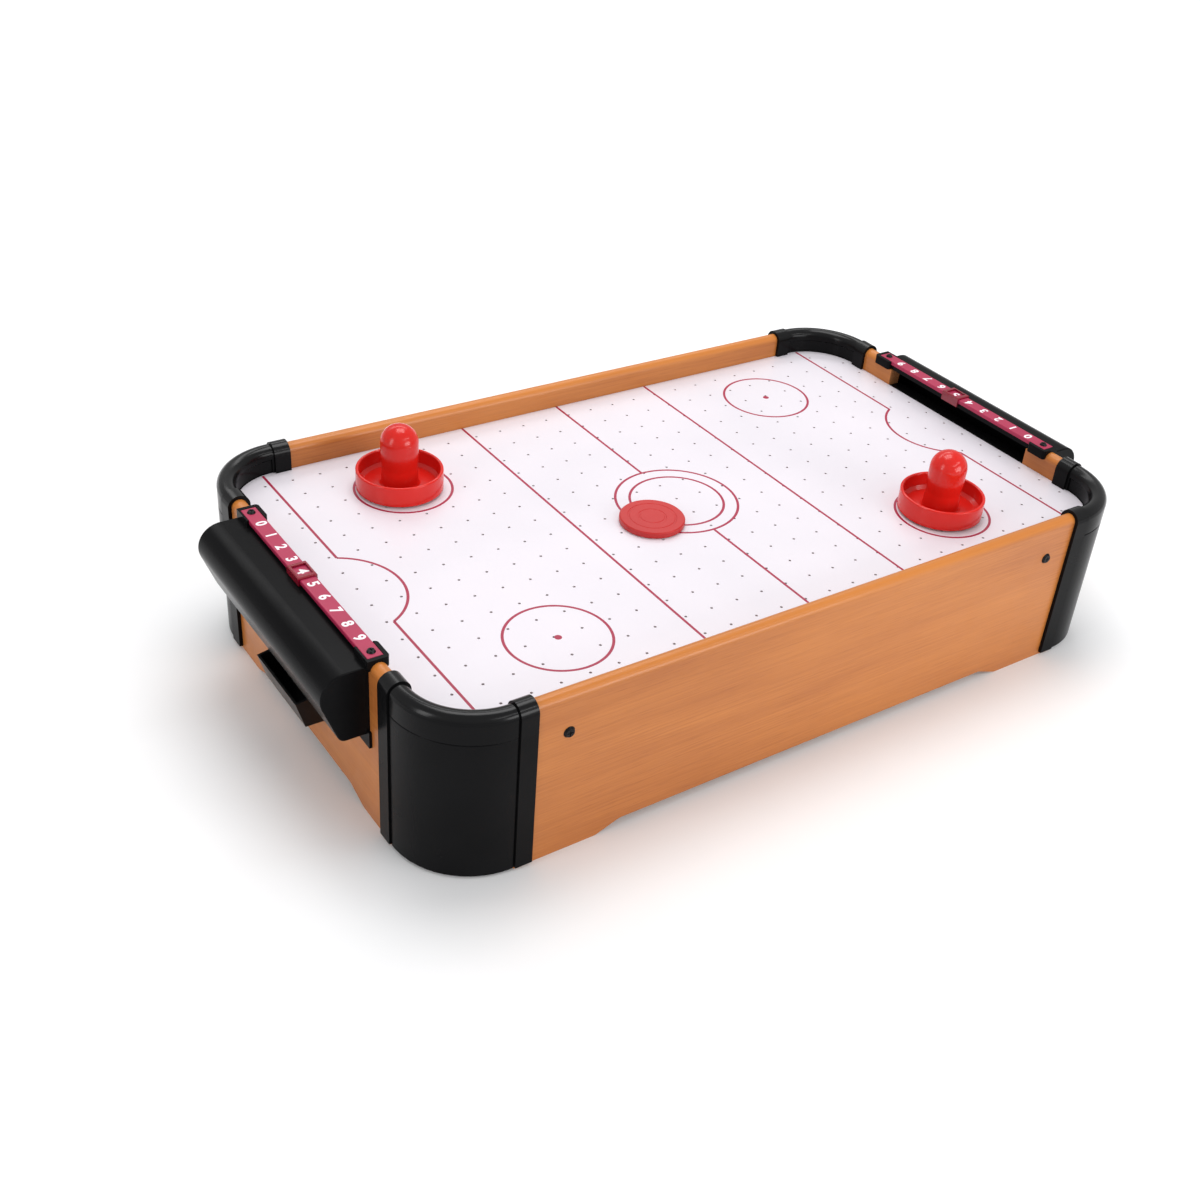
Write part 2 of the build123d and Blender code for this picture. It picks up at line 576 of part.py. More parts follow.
    rail_places = [facing(sx * RAIL_X, sy * RAIL_SCREW_Y, RAIL_TOP, (0, 0, 1)) for sy in (-1, 1)]
    screws(f"score_rail_screws_{name}", rail_places, head_h=1.5, length=19.0)
    goal_places = [facing(sx * (OUTER_X + 2), y, FLANGE_BOTTOM + 4.5, (sx, 0, 0)) for y in (-60, 60)]
    goal_places += [facing(sx * (OUTER_X + 2), y, TRAY_TOP - 6, (sx, 0, 0)) for y in (-20, 20)]
    screws(f"goal_screws_{name}", goal_places, length=12.0)


# ---- score sliders ---------------------------------------------------------------------------------
SLIDER_Y = DIGIT_PITCH / 2
SLIDER_HALF_L = 9.2
SLIDER_HALF_W = 6.8
SLIDER_TOP = RAIL_TOP + 1.6
HOOK_Z = BEAM_TOP - 1.4
SKIRT_Z = HOOK_Z - 2.0    # the slider hangs lower on the playing side

for sx, name in ENDS:
    with BuildPart() as slider:
        with Locations((sx * RAIL_X, SLIDER_Y, HOOK_Z)):
            Box(2 * SLIDER_HALF_W, 2 * SLIDER_HALF_L, SLIDER_TOP - HOOK_Z, align=UPWARD)
        with Locations((sx * (RAIL_X - SLIDER_HALF_W), SLIDER_Y, SKIRT_Z)):
            Box(1.0, 2 * SLIDER_HALF_L, SLIDER_TOP - SKIRT_Z - 2,
                align=(Align.MIN if sx > 0 else Align.MAX, Align.CENTER, Align.MIN))
        chamfer(slider.faces().sort_by(Axis.Z)[-1].edges(), 0.6)
        # Room for the rail, for the beam under it, and the window over one number
        with Locations((sx * RAIL_X, SLIDER_Y, BEAM_TOP - 0.3)):
            Box(2 * RAIL_HALF_W + 0.5, 30, RAIL_T + 0.5, align=UPWARD, mode=Mode.SUBTRACT)
        with Locations((sx * RAIL_X, SLIDER_Y, HOOK_Z - 1)):
            Box(2 * BEAM_HALF_W + 0.6, 30, 4, align=UPWARD, mode=Mode.SUBTRACT)
        with Locations((sx * RAIL_X, SLIDER_Y, RAIL_TOP)):
            Box(10.2, 12.5, 10, align=UPWARD, mode=Mode.SUBTRACT)
    save(slider, f"score_slider_{name}")


# ---- puck and mallets ------------------------------------------------------------------------------
with BuildPart() as puck:
    with BuildSketch(Plane(origin=(*PUCK_AT, FIELD_TOP + AIR_FILM), x_dir=(1, 0, 0), z_dir=(0, -1, 0))):
        with BuildLine():
            Polyline((0, 0), (PUCK_R - 0.8, 0), (PUCK_R, 0.8), (PUCK_R, PUCK_T - 0.8),
                     (PUCK_R - 0.8, PUCK_T), (18.5, PUCK_T), (18.1, PUCK_T - 0.3), (17.1, PUCK_T - 0.3),
                     (16.7, PUCK_T),
                     (10.7, PUCK_T), (10.3, PUCK_T - 0.3), (9.3, PUCK_T - 0.3), (8.9, PUCK_T), (0, PUCK_T),
                     close=True)
        make_face()
    revolve(axis=Axis((*PUCK_AT, 0), (0, 0, 1)))
save(puck, "puck")


def mallet(x, y, name):
    """Cup-shaped base with a domed knob standing in its middle, and the felt ring under it."""
    base = FELT_T
    dome_z = MALLET_H - MALLET_KNOB_R
    wall = MALLET_WALL
    with BuildPart() as body:
        with BuildSketch(Plane(origin=(x, y, FIELD_TOP + AIR_FILM), x_dir=(1, 0, 0), z_dir=(0, -1, 0))):
            with BuildLine():
                Polyline((12.5, base), (MALLET_R - 1.0, base), (MALLET_R, base + 1.0),
                         (MALLET_R, MALLET_BASE_H - 1.2))
                ThreePointArc((MALLET_R, MALLET_BASE_H - 1.2), (MALLET_R - 1.2, MALLET_BASE_H),
                              (MALLET_R - wall, MALLET_BASE_H - 1.2))
                Polyline((MALLET_R - wall, MALLET_BASE_H - 1.2), (MALLET_R - wall, base + 5.5),
                         (MALLET_R - wall - 2.5, base + 3.0), (16.0, base + 3.0))
                Spline((16.0, base + 3.0), (13.8, 8.5), (13.2, 17.0), (MALLET_KNOB_R, dome_z),
                       tangents=((-1, 0), (0, 1)))
                RadiusArc((MALLET_KNOB_R, dome_z), (0, MALLET_H), -MALLET_KNOB_R)
                Line((0, MALLET_H), (0, MALLET_H - wall))
                RadiusArc((0, MALLET_H - wall), (MALLET_KNOB_R - wall, dome_z), MALLET_KNOB_R - wall)
                Polyline((MALLET_KNOB_R - wall, dome_z), (10.4, 17.0), (10.4, 6.0), (12.5, base))
            make_face()
        revolve(axis=Axis((x, y, 0), (0, 0, 1)))
    save(body, f"mallet_{name}")
    with BuildPart() as felt:
        with BuildSketch(Plane((x, y, FIELD_TOP + AIR_FILM))):
            Circle(FELT_R)
            Circle(13.5, mode=Mode.SUBTRACT)
        extrude(amount=FELT_T)
    save(felt, f"mallet_felt_{name}")


mallet(*MALLET_LEFT_AT, "left")
mallet(*MALLET_RIGHT_AT, "right")


# ---- blower ----------------------------------------------------------------------------------------
EARS = [(41.0 * cos(radians(a)), 41.0 * sin(radians(a)), a) for a in (60, 180, 300)]
CUP_TOP = MOTOR_BOTTOM + 15.0

with BuildPart() as fan_housing:
    with Locations((0, 0, DUCT_BOTTOM)):
        Cylinder(DUCT_R + DUCT_WALL, DUCT_H, align=UPWARD)
    with Locations((0, 0, FLOOR_UNDER - DUCT_FLANGE_T)):
        Cylinder(DUCT_FLANGE_R, DUCT_FLANGE_T, align=UPWARD)
    for x, y, angle in EARS:
        with Locations(Location((x, y, DUCT_BOTTOM), (0, 0, angle))):
            Box(9, 8, 9, align=UPWARD)
    with Locations((0, 0, DUCT_BOTTOM)):
        Cylinder(DUCT_R, DUCT_H, align=UPWARD, mode=Mode.SUBTRACT)
    # Motor cup on three arms
    with PolarLocations(0, 3):
        with Locations((DUCT_R / 2 + 1, 0, DUCT_BOTTOM)):
            Box(DUCT_R, 4, 6, align=UPWARD)
    with Locations((0, 0, DUCT_BOTTOM)):
        Cylinder(MOTOR_R + 2, CUP_TOP - DUCT_BOTTOM, align=UPWARD)
    with Locations((0, 0, MOTOR_BOTTOM)):
        Cylinder(MOTOR_R + 0.05, 60, align=UPWARD, mode=Mode.SUBTRACT)
    for x, y in DUCT_BOLTS:
        with Locations((x, y, FLOOR_UNDER)):
            Cylinder(1.45, 20, mode=Mode.SUBTRACT)
    for x, y, angle in EARS:
        with Locations((x, y, DUCT_BOTTOM)):
            Cylinder(1.25, 14, mode=Mode.SUBTRACT)
    for y in (-LEAD_Y, LEAD_Y):
        with Locations(Location((30, y, LEAD_Z), (0, 90, 0))):
            Cylinder(WIRE_R + 0.1, 50, mode=Mode.SUBTRACT)
save(fan_housing, "fan_housing")

screws("fan_housing_screws", [facing(x, y, FLOOR_UNDER - DUCT_FLANGE_T, (0, 0, -1)) for x, y in DUCT_BOLTS],
       length=5.5)

with BuildPart() as fan_grille:
    with BuildSketch(Plane.XY.offset(DUCT_BOTTOM - GRILLE_T)):
        Circle(GRILLE_R)
        for x, y, angle in EARS:
            with Locations(Location((x, y, 0), (0, 0, angle))):
                Rectangle(9, 8)
        for x, y, angle in EARS:
            with Locations((x, y)):
                Circle(1.45, mode=Mode.SUBTRACT)
        for row in range(-4, 5):
            y = row * 7.0
            half = (32.5 ** 2 - y ** 2) ** 0.5
            with Locations((0, y)):
                SlotOverall(2 * half, 4.2, mode=Mode.SUBTRACT)
        Rectangle(2.5, 66)
    extrude(amount=GRILLE_T)
save(fan_grille, "fan_grille")

screws("fan_grille_screws", [facing(x, y, DUCT_BOTTOM - GRILLE_T, (0, 0, -1)) for x, y, _ in EARS],
       head_r=2.6, head_h=1.5, shank_r=1.2, length=8.0)

with BuildPart() as fan_motor:
    with Locations((0, 0, MOTOR_BOTTOM)):
        Cylinder(MOTOR_R, MOTOR_L, align=UPWARD)
    chamfer(fan_motor.faces().sort_by(Axis.Z)[-1].edges(), 1.0)
    with Locations((0, 0, MOTOR_BOTTOM + MOTOR_L)):
        Cylinder(3.0, 1.2, align=UPWARD)
    with Locations((0, 0, MOTOR_BOTTOM + 6)):
        Cylinder(SHAFT_R + 0.05, 40, align=UPWARD, mode=Mode.SUBTRACT)
save(fan_motor, "fan_motor")

with BuildPart() as motor_shaft:
    with Locations((0, 0, MOTOR_BOTTOM + 6.5)):
        Cylinder(SHAFT_R, 23.5, align=UPWARD)
save(motor_shaft, "motor_shaft")

with BuildPart() as fan_impeller:
    with PolarLocations(0, BLADES):
        with Locations(Location(((HUB_R + BLADE_TIP_R) / 2, 0, HUB_BOTTOM + HUB_H / 2), (36, 0, 0))):
            Box(BLADE_TIP_R - HUB_R + 4, 13.0, 1.4)
    with Locations((0, 0, HUB_BOTTOM + HUB_H / 2)):
        Cylinder(BLADE_TIP_R, HUB_H, mode=Mode.INTERSECT)
        Cylinder(HUB_R, HUB_H)
    with Locations((0, 0, HUB_BOTTOM + HUB_H)):
        Cone(HUB_R, HUB_R - 2.5, 1.5, align=UPWARD)
    with Locations((0, 0, HUB_BOTTOM - 1)):
        Cylinder(SHAFT_R, HUB_H - 0.5, align=UPWARD, mode=Mode.SUBTRACT)
save(fan_impeller, "fan_impeller")


# ---- batteries -------------------------------------------------------------------------------------
CELL_Z = FLOOR_UNDER - 2 - CELL_R - 0.4
DOOR_Z = BOX_BOTTOM + 1.0
CELL_X = [BOX_X + (i - (CELLS - 1) / 2) * CELL_PITCH for i in range(CELLS)]

with BuildPart() as battery_box:
    with Locations((BOX_X, BOX_Y, BOX_BOTTOM)):
        Box(BOX_IN_X + 2 * BOX_T, BOX_IN_Y + 2 * BOX_T, BOX_H, align=UPWARD)
    for x, y in BOX_EARS:
        with Locations((x, y, FLOOR_UNDER - 3)):
            Box(12, 12, 3, align=UPWARD)
    with Locations((BOX_X, BOX_Y, BOX_BOTTOM - 1)):
        Box(BOX_IN_X, BOX_IN_Y, BOX_H - 1, align=UPWARD, mode=Mode.SUBTRACT)
    # Grooves of the door, open towards the near side
    with Locations((BOX_X, BOX_Y + BOX_IN_Y / 2, DOOR_Z - 0.2)):
        Box(BOX_IN_X + 2.6, BOX_IN_Y + 20, DOOR_T + 0.4, align=(Align.CENTER, Align.MAX, Align.MIN),
            mode=Mode.SUBTRACT)
    with Locations((BOX_X, BOX_Y - BOX_IN_Y / 2, BOX_BOTTOM - 1)):
        Box(BOX_IN_X, 20, 3, align=UPWARD, mode=Mode.SUBTRACT)
    for x, y in BOX_EARS:
        with Locations((x, y, FLOOR_UNDER)):
            Cylinder(1.45, 10, mode=Mode.SUBTRACT)
    with Locations(Location((FEED_X, BOX_Y + BOX_IN_Y / 2 + 1, WIRE_Z), (90, 0, 0))):
        Cylinder(WIRE_R + 0.1, 8, mode=Mode.SUBTRACT)
    with Locations(Location((BOX_X - BOX_IN_X / 2 - 1, RETURN_Y, WIRE_Z), (0, 90, 0))):
        Cylinder(WIRE_R + 0.1, 8, mode=Mode.SUBTRACT)
save(battery_box, "battery_box")

screws("battery_box_screws", [facing(x, y, FLOOR_UNDER - 3, (0, 0, -1)) for x, y in BOX_EARS], length=5.5)

with BuildPart() as battery_door:
    with Locations((BOX_X, BOX_Y + BOX_IN_Y / 2 - 0.3, DOOR_Z)):
        Box(BOX_IN_X + 2.0, BOX_IN_Y + 2.5, DOOR_T, align=(Align.CENTER, Align.MAX, Align.MIN))
    for row in range(4):
        with Locations((BOX_X, BOX_Y - BOX_IN_Y / 2 + 4 + 3 * row, DOOR_Z)):
            Box(30, 1.4, 1.0, mode=Mode.SUBTRACT)
save(battery_door, "battery_door")

with BuildPart() as batteries:
    for i, x in enumerate(CELL_X):
        turn = 1 if i % 2 == 0 else -1
        with Locations(Location((x, BOX_Y, CELL_Z), (90, 0, 0))):
            Cylinder(CELL_R, CELL_L)
        with Locations(Location((x, BOX_Y + turn * (CELL_L / 2 + 0.5), CELL_Z), (90, 0, 0))):
            Cylinder(2.7, 1.0)
save(batteries, "batteries")

CONTACT_Y = BOX_IN_Y / 2
with BuildPart() as battery_contacts:
    for i, x in enumerate(CELL_X):
        turn = 1 if i % 2 == 0 else -1
        for end in (-1, 1):
            with Locations((x, BOX_Y + end * CONTACT_Y, CELL_Z)):
                Box(11, 0.4, 11, align=(Align.CENTER, Align.MIN if end < 0 else Align.MAX, Align.CENTER))
        # Button against the cell's cap, and a stepped coil against its flat end
        with Locations(Location((x, BOX_Y + turn * (CONTACT_Y - 2.2), CELL_Z), (90, 0, 0))):
            Cylinder(2.2, 3.6)
        for step in range(4):
            coil_y = BOX_Y - turn * (CONTACT_Y - 0.9 - 1.1 * step)
            with Locations(Location((x, coil_y, CELL_Z), (90, 0, 0))):
                Cylinder(4.8 - 0.6 * step, 1.1)
                Cylinder(3.6 - 0.6 * step, 1.1, mode=Mode.SUBTRACT)
save(battery_contacts, "battery_contacts")


# ---- power switch ----------------------------------------------------------------------------------
PIVOT_Z = FLOOR_UNDER - SWITCH_H + 3.2
PIN_R = 1.2

with BuildPart() as switch_body:
    with Locations((SWITCH_X, SWITCH_Y, FLOOR_UNDER - SWITCH_H)):
        Box(SWITCH_L + 6, SWITCH_W + 5, SWITCH_H, align=UPWARD)
        Box(SWITCH_L - 2, SWITCH_W - 3, 11, align=UPWARD, mode=Mode.SUBTRACT)
    for x, y in SWITCH_EARS:
        with Locations((x, y, FLOOR_UNDER - 3)):
            Box(10, 11, 3, align=UPWARD)
    for x, y in SWITCH_EARS:
        with Locations((x, y, FLOOR_UNDER)):
            Cylinder(1.45, 10, mode=Mode.SUBTRACT)
    with Locations(Location((SWITCH_X, SWITCH_Y, PIVOT_Z), (90, 0, 0))):
        Cylinder(PIN_R + 0.05, SWITCH_W, mode=Mode.SUBTRACT)
    with Locations(Location((FEED_X, SWITCH_Y - SWITCH_W / 2 - 1, WIRE_Z), (90, 0, 0))):
        Cylinder(WIRE_R + 0.1, 6, mode=Mode.SUBTRACT)
    with Locations(Location((SWITCH_X - SWITCH_L / 2 - 1.5, SWITCH_Y, WIRE_Z), (0, 90, 0))):
        Cylinder(WIRE_R + 0.1, 6, mode=Mode.SUBTRACT)
save(switch_body, "switch_body")

screws("switch_screws", [facing(x, y, FLOOR_UNDER - 3, (0, 0, -1)) for x, y in SWITCH_EARS],
       head_r=2.6, head_h=1.5, length=5.5)

ROCKER_DIR = (cos(radians(ROCKER_TILT)), 0, sin(radians(ROCKER_TILT)))
with BuildPart() as switch_rocker:
    with BuildSketch(Plane(origin=(SWITCH_X, SWITCH_Y, PIVOT_Z), x_dir=ROCKER_DIR, z_dir=(0, -1, 0))):
        with BuildLine():
            Polyline((-9.0, 1.0), (-9.0, -2.6), (0, -3.6), (9.0, -2.6), (9.0, 1.0), (2.4, 2.4), (-2.4, 2.4),
                     close=True)
        make_face()
    extrude(amount=(SWITCH_W - 3.6) / 2, both=True)
    with Locations(Location((SWITCH_X, SWITCH_Y, PIVOT_Z), (90, 0, 0))):
        Cylinder(PIN_R, SWITCH_W - 0.6)
save(switch_rocker, "switch_rocker")


# ---- wires -----------------------------------------------------------------------------------------
def wire(label, *points):
    """An insulated wire: straight runs joined by tangent bends."""
    with BuildPart() as piece:
        with BuildLine() as path:
            if len(points) > 2:
                FilletPolyline(*points, radius=5.0)
            else:
                Line(*points)
        with BuildSketch(Plane(origin=path.line @ 0, z_dir=path.line % 0)):
            Circle(WIRE_R)
        sweep()
    save(piece, label)


wire("wire_battery_to_switch", (FEED_X, BOX_Y + BOX_IN_Y / 2, WIRE_Z),
     (FEED_X, SWITCH_Y - SWITCH_W / 2 + 0.5, WIRE_Z))
wire("wire_switch_to_motor", (SWITCH_X - SWITCH_L / 2 + 0.5, SWITCH_Y, WIRE_Z), (60, SWITCH_Y, WIRE_Z),
     (60, LEAD_Y, WIRE_Z), (60, LEAD_Y, LEAD_Z), (MOTOR_R + 0.1, LEAD_Y, LEAD_Z))
wire("wire_motor_to_battery", (MOTOR_R + 0.1, -LEAD_Y, LEAD_Z), (56, -LEAD_Y, LEAD_Z),
     (56, -LEAD_Y, WIRE_Z), (56, RETURN_Y, WIRE_Z), (BOX_X - BOX_IN_X / 2 + 0.5, RETURN_Y, WIRE_Z))
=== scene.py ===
import math

import bmesh
import bpy
from mathutils import Matrix, Vector


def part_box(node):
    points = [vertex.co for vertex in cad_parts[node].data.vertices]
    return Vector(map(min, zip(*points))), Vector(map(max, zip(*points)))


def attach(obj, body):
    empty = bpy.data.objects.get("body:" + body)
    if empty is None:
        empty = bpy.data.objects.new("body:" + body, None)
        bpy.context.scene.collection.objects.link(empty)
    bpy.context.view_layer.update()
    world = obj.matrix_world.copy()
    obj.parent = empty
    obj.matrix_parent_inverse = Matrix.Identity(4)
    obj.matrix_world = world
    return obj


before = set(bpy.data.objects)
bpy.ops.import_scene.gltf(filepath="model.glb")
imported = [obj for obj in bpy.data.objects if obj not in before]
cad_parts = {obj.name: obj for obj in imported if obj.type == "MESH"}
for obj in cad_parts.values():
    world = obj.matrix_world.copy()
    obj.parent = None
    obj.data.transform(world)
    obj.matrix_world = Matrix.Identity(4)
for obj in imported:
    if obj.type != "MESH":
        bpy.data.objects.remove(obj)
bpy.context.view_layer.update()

MM = 0.001
WHITE = (1.0, 1.0, 1.0)
MOUTH_LEVEL = 120.0    # level faces of the boards below this are sawn, mm


# ---- node materials --------------------------------------------------------------------------------
def linear(r, g, b):
    """An sRGB colour, 0 to 255, as linear values."""
    def one(v):
        v /= 255.0
        return v / 12.92 if v <= 0.04045 else ((v + 0.055) / 1.055) ** 2.4
    return one(r), one(g), one(b), 1.0


class Shader:
    """A Principled material and the few node calls that the materials below share."""

    def __init__(self, name, **sockets):
        self.mat = bpy.data.materials.new(name)
        self.mat.use_nodes = True
        self.tree = self.mat.node_tree
        self.tree.nodes.clear()
        self.out = self.tree.nodes.new("ShaderNodeOutputMaterial")
        self.bsdf = self.tree.nodes.new("ShaderNodeBsdfPrincipled")
        self.tree.links.new(self.bsdf.outputs["BSDF"], self.out.inputs["Surface"])
        for key, value in sockets.items():
            self.bsdf.inputs[key.replace("_", " ")].default_value = value
        self.coords = self.tree.nodes.new("ShaderNodeTexCoord")

    def put(self, socket, value):
        if isinstance(value, bpy.types.NodeSocket):
            self.tree.links.new(value, socket)
        else:
            socket.default_value = value

    def place(self, scale=(1.0, 1.0, 1.0)):
        """Object coordinates in millimetres, times a scale for each axis."""
        node = self.tree.nodes.new("ShaderNodeMapping")
        node.inputs["Scale"].default_value = tuple(factor / MM for factor in scale)
        self.tree.links.new(self.coords.outputs["Object"], node.inputs["Vector"])
        return node.outputs["Vector"]

    def axis(self, vector, name):
        node = self.tree.nodes.new("ShaderNodeSeparateXYZ")
        self.put(node.inputs[0], vector)
        return node.outputs[name]

    def noise(self, vector, detail=3.0, rough=0.5, warp=0.0):
        node = self.tree.nodes.new("ShaderNodeTexNoise")
        self.put(node.inputs["Vector"], vector)
        node.inputs["Scale"].default_value = 1.0
        node.inputs["Detail"].default_value = detail
        node.inputs["Roughness"].default_value = rough
        node.inputs["Distortion"].default_value = warp
        return node.outputs["Fac"]

    def voronoi(self, vector):
        node = self.tree.nodes.new("ShaderNodeTexVoronoi")
        self.put(node.inputs["Vector"], vector)
        node.inputs["Scale"].default_value = 1.0
        return node.outputs["Distance"]

    def math(self, operation, a, b=0.0, clamp=False):
        node = self.tree.nodes.new("ShaderNodeMath")
        node.operation = operation
        node.use_clamp = clamp
        self.put(node.inputs[0], a)
        self.put(node.inputs[1], b)
        return node.outputs[0]

    def span(self, value, low, high, to_low=0.0, to_high=1.0):
        """Maps a value from one span to another, held at both ends."""
        node = self.tree.nodes.new("ShaderNodeMapRange")
        self.put(node.inputs["Value"], value)
        for key, number in (("From Min", low), ("From Max", high), ("To Min", to_low), ("To Max", to_high)):
            node.inputs[key].default_value = number
        return node.outputs["Result"]

    def ramp(self, value, *stops):
        node = self.tree.nodes.new("ShaderNodeValToRGB")
        ramp = node.color_ramp
        while len(ramp.elements) < len(stops):
            ramp.elements.new(0.5)
        for element, (position, colour) in zip(ramp.elements, stops):
            element.position = position
            element.color = colour
        self.put(node.inputs["Fac"], value)
        return node.outputs["Color"]

    def mix(self, fac, a, b):
        node = self.tree.nodes.new("ShaderNodeMix")
        node.data_type = "RGBA"
        self.put(node.inputs[0], fac)
        self.put(node.inputs[6], a)
        self.put(node.inputs[7], b)
        return node.outputs[2]

    def bump(self, height, strength, distance_mm):
        node = self.tree.nodes.new("ShaderNodeBump")
        node.inputs["Strength"].default_value = strength
        node.inputs["Distance"].default_value = distance_mm * MM
        self.put(node.inputs["Height"], height)
        return node.outputs["Normal"]

    def facing(self):
        """The surface's own direction, in the part's frame."""
        return self.coords.outputs["Normal"]

    def finish(self, colour=None, rough=None, normal=None):
        for key, value in (("Base Color", colour), ("Roughness", rough), ("Normal", normal)):
            if value is not None:
                self.put(self.bsdf.inputs[key], value)
        return self.mat


def plastic(name, colour, rough, spread=0.04, grain=0.02, vary=0.12, crown=None, **sockets):
    """Moulded plastic: a little flow variation in its colour, and a fine grain that scatters its gloss.

    A crown value is the gloss of the faces that look up, which hands keep polished.
    """
    s = Shader(name, **sockets)
    broad = s.noise(s.place((0.02, 0.02, 0.02)), detail=2.0)
    fine = s.noise(s.place((3.2, 3.2, 3.2)), detail=2.0, rough=0.6)
    scuffs = s.noise(s.place((0.05, 0.05, 0.05)), detail=3.0, rough=0.55, warp=0.4)
    low = tuple(c * (1 - vary) for c in colour[:3]) + (1.0,)
    high = tuple(min(1.0, c * (1 + vary)) for c in colour[:3]) + (1.0,)
    tone = s.mix(s.span(broad, 0.35, 0.65), low, high)
    gloss = s.span(scuffs, 0.3, 0.75, rough - spread, rough + spread)
    if crown is not None:
        level = s.bsdf.inputs["Specular IOR Level"]
        s.put(level, s.span(s.axis(s.facing(), "Z"), 0.2, 0.6, level.default_value, crown))
    return s.finish(tone, gloss, s.bump(fine, 0.12, grain))


def stretch(along, fine, long):
    """A scale for grain that runs along one axis: fine across it, long along it."""
    return (long, fine, fine) if along == "X" else (fine, long, fine)


def foil(name, along):
    """Printed wood foil on fibreboard. The grain runs along one axis; sawn edges show the bare board."""
    s = Shader(name, Coat_Weight=0.14, Coat_Roughness=0.16, Specular_IOR_Level=0.32)
    warp = s.noise(s.place(stretch(along, 0.012, 0.0045)), detail=2.0)
    wide = s.noise(s.place(stretch(along, 0.05, 0.0035)), detail=3.0, rough=0.55, warp=0.3)
    streak = s.noise(s.place(stretch(along, 0.75, 0.014)), detail=6.0, rough=0.62, warp=0.25)
    pores = s.noise(s.place(stretch(along, 2.6, 0.05)), detail=2.0, rough=0.5)
    tone = s.ramp(wide, (0.25, linear(172, 101, 47)), (0.5, linear(186, 114, 55)),
                  (0.78, linear(196, 123, 60)))
    tone = s.mix(s.span(streak, 0.36, 0.62, 0.42, 0.0), tone, linear(154, 84, 40))
    tone = s.mix(s.span(pores, 0.60, 0.72, 0.0, 0.45), tone, linear(134, 70, 32))
    tone = s.mix(s.span(warp, 0.42, 0.62, 0.0, 0.35), tone, linear(205, 130, 62))
    # Painted light: the faces that look up, the rounded top edge most, are mixed towards a brighter,
    # yellower orange
    rounded = s.span(s.axis(s.facing(), "Z"), 0.1, 0.6, 0.0, 0.55)
    tone = s.mix(rounded, tone, linear(208, 128, 52))
    # Sawn faces: the ends, the underside and the cut-outs, and the floor and sides of the goal mouth
    down = s.span(s.axis(s.facing(), "Z"), -0.25, -0.15, 1.0, 0.0)
    ends = s.span(s.math("ABSOLUTE", s.axis(s.facing(), along)), 0.6, 0.7)
    flat_up = s.span(s.axis(s.facing(), "Z"), 0.97, 0.99)
    low = s.span(s.axis(s.place(), "Z"), MOUTH_LEVEL - 1.0, MOUTH_LEVEL, 1.0, 0.0)
    sawn = s.math("MAXIMUM", s.math("MAXIMUM", down, ends), s.math("MULTIPLY", flat_up, low))
    chips = s.voronoi(s.place((1.1, 1.1, 1.1)))
    bare = s.ramp(chips, (0.05, linear(136, 84, 46)), (0.35, linear(168, 112, 66)),
                  (0.8, linear(182, 126, 78)))
    colour = s.mix(sawn, tone, bare)
    worn = s.noise(s.place((0.06, 0.06, 0.06)), detail=5.0, rough=0.65)
    sheen = s.span(worn, 0.3, 0.7, 0.30, 0.42)
    rough = s.math("ADD", sheen, s.math("MULTIPLY", sawn, 0.45), clamp=True)
    height = s.math("ADD", s.math("MULTIPLY", pores, 0.5), s.math("MULTIPLY", chips, sawn))
    return s.finish(colour, rough, s.bump(height, 0.22, 0.05))


def field_board(name):
    """White field: smooth, faintly cool, with a trace of wear; grey in the holes, bare board below."""
    s = Shader(name, Coat_Weight=0.15, Coat_Roughness=0.18)
    cloud = s.noise(s.place((0.01, 0.01, 0.01)), detail=3.0)
    speck = s.noise(s.place((0.9, 0.9, 0.9)), detail=2.0)
    haze = s.noise(s.place((0.02, 0.03, 0.02)), detail=3.0, rough=0.55)
    top = s.mix(s.span(cloud, 0.3, 0.7), linear(222, 217, 224), linear(228, 222, 229))
    top = s.mix(s.span(speck, 0.68, 0.8, 0.0, 0.06), top, linear(214, 207, 216))
    fibre = s.noise(s.place((0.7, 0.7, 0.7)), detail=5.0, rough=0.7)
    bare = s.ramp(fibre, (0.3, linear(150, 116, 82)), (0.7, linear(184, 150, 112)))
    up = s.span(s.axis(s.facing(), "Z"), 0.5, 0.7)
    down = s.span(s.axis(s.facing(), "Z"), -0.7, -0.5, 1.0, 0.0)
    colour = s.mix(up, s.mix(down, linear(206, 196, 198), bare), top)
    gloss = s.span(haze, 0.3, 0.75, 0.30, 0.38)
    rough = s.math("ADD", gloss, s.span(s.axis(s.facing(), "Z"), 0.5, 0.7, 0.4, 0.0), clamp=True)
    return s.finish(colour, rough, s.bump(speck, 0.06, 0.01))


def pine(name, along):
    """Sawn softwood batten."""
    s = Shader(name)
    rings = s.noise(s.place(stretch(along, 0.16, 0.004)), detail=4.0, rough=0.5, warp=0.6)
    fibre = s.noise(s.place(stretch(along, 2.2, 0.03)), detail=3.0)
    tone = s.ramp(rings, (0.3, linear(222, 184, 132)), (0.52, linear(206, 160, 104)),
                  (0.62, linear(226, 190, 140)))
    tone = s.mix(s.span(fibre, 0.55, 0.75, 0.0, 0.3), tone, linear(170, 122, 76))
    return s.finish(tone, s.span(fibre, 0.2, 0.8, 0.62, 0.78), s.bump(fibre, 0.35, 0.10))


